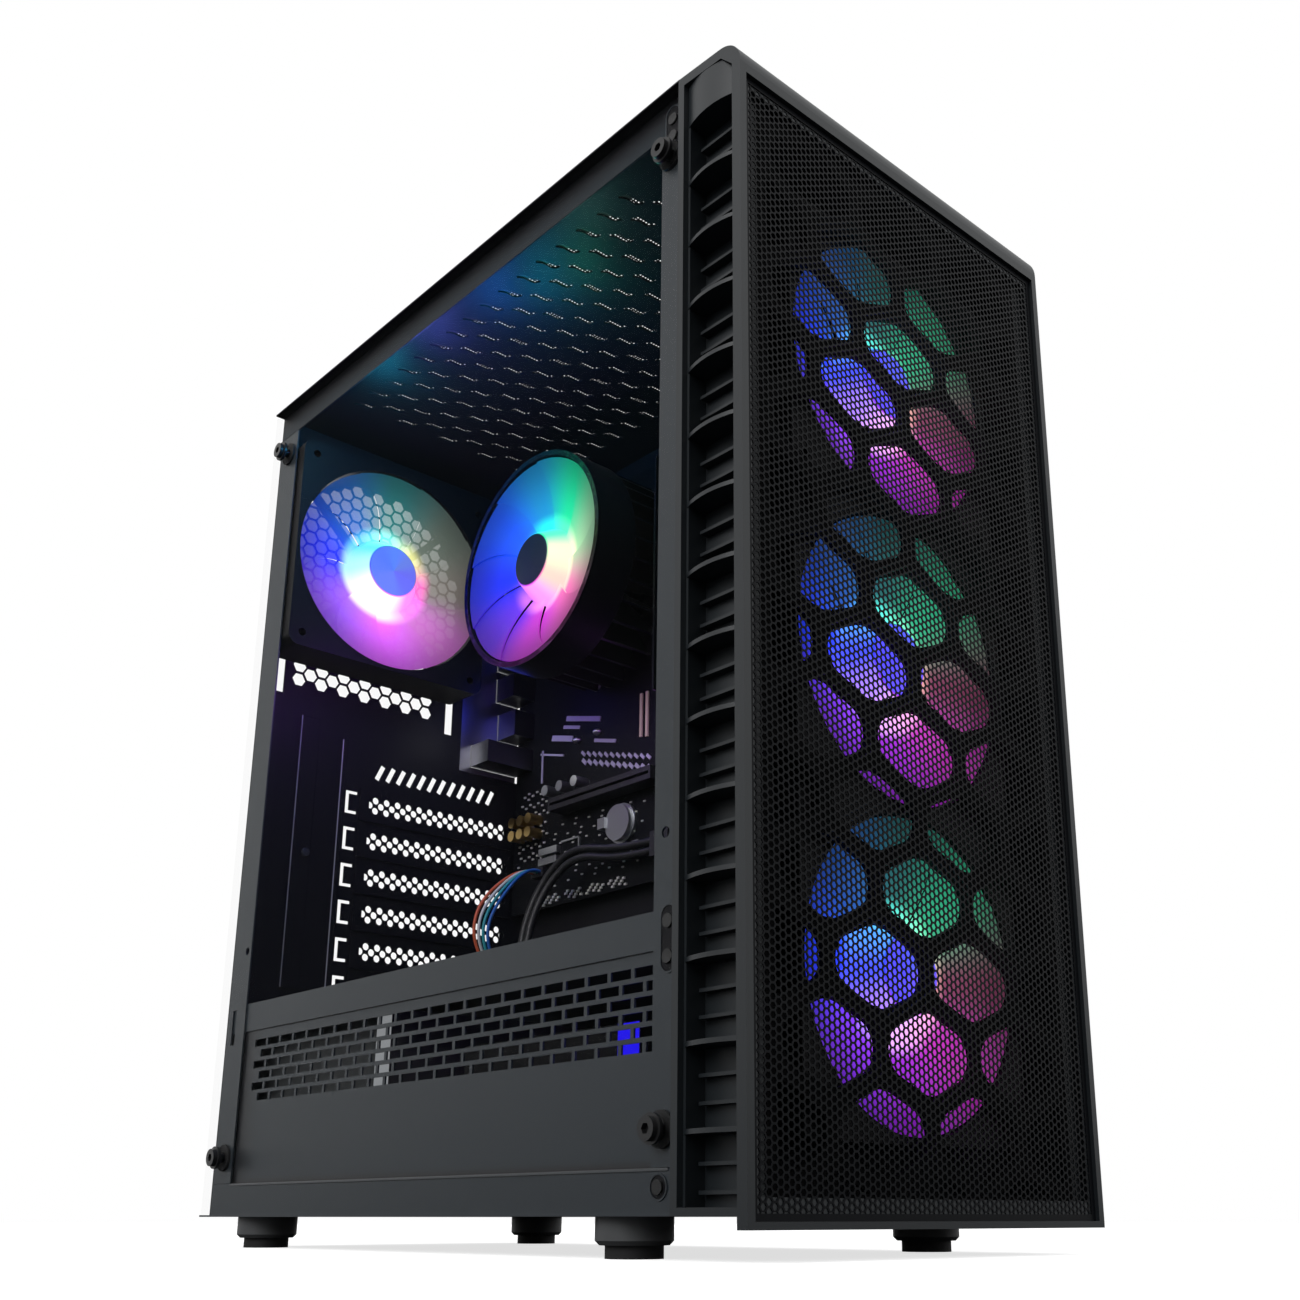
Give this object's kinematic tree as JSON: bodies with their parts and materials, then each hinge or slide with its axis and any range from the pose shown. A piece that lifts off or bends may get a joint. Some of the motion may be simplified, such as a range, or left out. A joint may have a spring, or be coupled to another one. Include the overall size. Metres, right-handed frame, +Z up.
{
  "type": "desktop computer tower",
  "caption": "Desktop computer tower with a clear glass side, mesh front over lit fans, louvred bezel sides and a slotted steel chassis on round feet",
  "frame": {"origin": "On the floor, under the middle of the whole box, screw heads included", "axes": "+X to the right seen from the front, so the glass side faces -X; +Y towards the rear panel, so the mesh faces -Y; +Z up"},
  "size_m": [0.191, 0.3784, 0.445],
  "materials": {
    "steel_paint": "satin dark grey paint on pressed steel",
    "bezel_plastic": "fine-grained dark grey moulding",
    "mesh_paint": "satin black perforated sheet",
    "honey_plastic": "matte black moulding",
    "fan_plastic": "matte black moulding",
    "rotor_plastic": "translucent milky moulding lit from the hub",
    "clear_glass": "clear toughened glass",
    "black_rubber": "soft matte rubber",
    "foot_plastic": "grey moulding",
    "screw_black": "black oxide steel",
    "bare_steel": "plated steel",
    "filter_mesh": "fine black mesh in a thin frame",
    "board_black": "black printed board",
    "slot_plastic": "black connector moulding",
    "anodised": "dark anodised extrusion",
    "brass": "turned brass",
    "battery_steel": "polished steel",
    "capacitor_can": "bare aluminium cans",
    "psu_paint": "grey powder coat",
    "inlet_plastic": "black moulding",
    "wire_sleeve": "coloured insulation",
    "cable_sleeve": "black insulation",
    "drive_case": "cast drive housing"
  },
  "bodies": {
    "chassis": {"bottom_panel": "steel_paint", "top_panel": "steel_paint", "front_panel": "steel_paint", "rear_panel": "steel_paint", "motherboard_tray": "steel_paint", "left_side_frame": "steel_paint", "frame_screws": "screw_black", "psu_shroud_side": "steel_paint", "psu_shroud_top": "steel_paint", "drive_cage": "steel_paint", "hard_drive": "drive_case", "slot_covers": "steel_paint", "foot_bodies": "foot_plastic", "foot_pads": "black_rubber", "glass_bushes": "black_rubber", "rear_screws": "screw_black", "front_fan_1_frame": "fan_plastic", "front_fan_2_frame": "fan_plastic", "front_fan_3_frame": "fan_plastic", "rear_fan_frame": "fan_plastic", "cpu_fan_frame": "fan_plastic", "cpu_heatsink": "anodised", "motherboard": "board_black", "board_standoffs": "brass", "io_shield": "bare_steel", "rear_ports": "bare_steel", "usb_ports": "bare_steel", "memory_slots": "slot_plastic", "memory_modules": "board_black", "expansion_slots": "slot_plastic", "chip_heatsink": "anodised", "coin_battery": "battery_steel", "capacitors": "capacitor_can", "board_connectors": "slot_plastic", "front_wires": "wire_sleeve", "black_cables": "cable_sleeve", "psu_case": "psu_paint", "psu_fan_guard": "bare_steel", "psu_inlet": "inlet_plastic"},
    "front_cover": {"front_bezel": "bezel_plastic", "front_mesh": "mesh_paint", "honeycomb_guard": "honey_plastic", "left_louvre": "bezel_plastic", "right_louvre": "bezel_plastic", "front_ports": "bare_steel"},
    "power_key": {"power_button": "bezel_plastic"},
    "reset_key": {"reset_button": "bezel_plastic"},
    "glass_side": {"glass_panel": "clear_glass", "glass_thumbscrews": "screw_black"},
    "right_side": {"right_side_panel": "steel_paint", "panel_thumbscrews": "screw_black"},
    "dust_filter": {"top_dust_filter": "filter_mesh"},
    "rocker": {"psu_switch": "inlet_plastic"},
    "front_fan_1_spin": {"front_fan_1_rotor": "rotor_plastic"},
    "front_fan_2_spin": {"front_fan_2_rotor": "rotor_plastic"},
    "front_fan_3_spin": {"front_fan_3_rotor": "rotor_plastic"},
    "rear_fan_spin": {"rear_fan_rotor": "rotor_plastic"},
    "cpu_fan_spin": {"cpu_fan_rotor": "rotor_plastic"},
    "psu_fan_spin": {"psu_fan_rotor": "inlet_plastic"}
  },
  "joints": [
    {"name": "front_fan_1_turn", "type": "hinge", "parent": "chassis", "child": "front_fan_1_spin", "pos_m": [0.001, -0.1676, 0.097], "axis": [0, 1, 0], "continuous": true},
    {"name": "front_fan_2_turn", "type": "hinge", "parent": "chassis", "child": "front_fan_2_spin", "pos_m": [0.001, -0.1676, 0.217], "axis": [0, 1, 0], "continuous": true},
    {"name": "front_fan_3_turn", "type": "hinge", "parent": "chassis", "child": "front_fan_3_spin", "pos_m": [0.001, -0.1676, 0.337], "axis": [0, 1, 0], "continuous": true},
    {"name": "rear_fan_turn", "type": "hinge", "parent": "chassis", "child": "rear_fan_spin", "pos_m": [-0.0266, 0.1694, 0.3616], "axis": [0, 1, 0], "continuous": true},
    {"name": "cpu_fan_turn", "type": "hinge", "parent": "chassis", "child": "cpu_fan_spin", "pos_m": [0.0245, 0.086, 0.3565], "axis": [1, 0, 0], "continuous": true},
    {"name": "psu_fan_turn", "type": "hinge", "parent": "chassis", "child": "psu_fan_spin", "pos_m": [-0.001, 0.1149, 0.0293], "axis": [0, 0, 1], "continuous": true},
    {"name": "power_press", "type": "slide", "parent": "front_cover", "child": "power_key", "axis": [0, 0, -1], "range_m": [0, 0.0008], "stiffness_N_per_m": 300},
    {"name": "reset_press", "type": "slide", "parent": "front_cover", "child": "reset_key", "axis": [0, 0, -1], "range_m": [0, 0.0006], "stiffness_N_per_m": 300},
    {"name": "switch_rock", "type": "hinge", "parent": "chassis", "child": "rocker", "pos_m": [-0.017, 0.1799, 0.0743], "axis": [1, 0, 0], "range_deg": [-14, 0]},
    {"name": "glass_off", "type": "slide", "parent": "chassis", "child": "glass_side", "axis": [-1, 0, 0], "range_m": [0, 0.08]},
    {"name": "panel_off", "type": "slide", "parent": "chassis", "child": "right_side", "axis": [0, 1, 0], "range_m": [0, 0.06]},
    {"name": "filter_off", "type": "slide", "parent": "chassis", "child": "dust_filter", "axis": [0, 0, 1], "range_m": [0, 0.05]},
    {"name": "bezel_off", "type": "slide", "parent": "chassis", "child": "front_cover", "axis": [0, -1, 0], "range_m": [0, 0.06]}
  ]
}
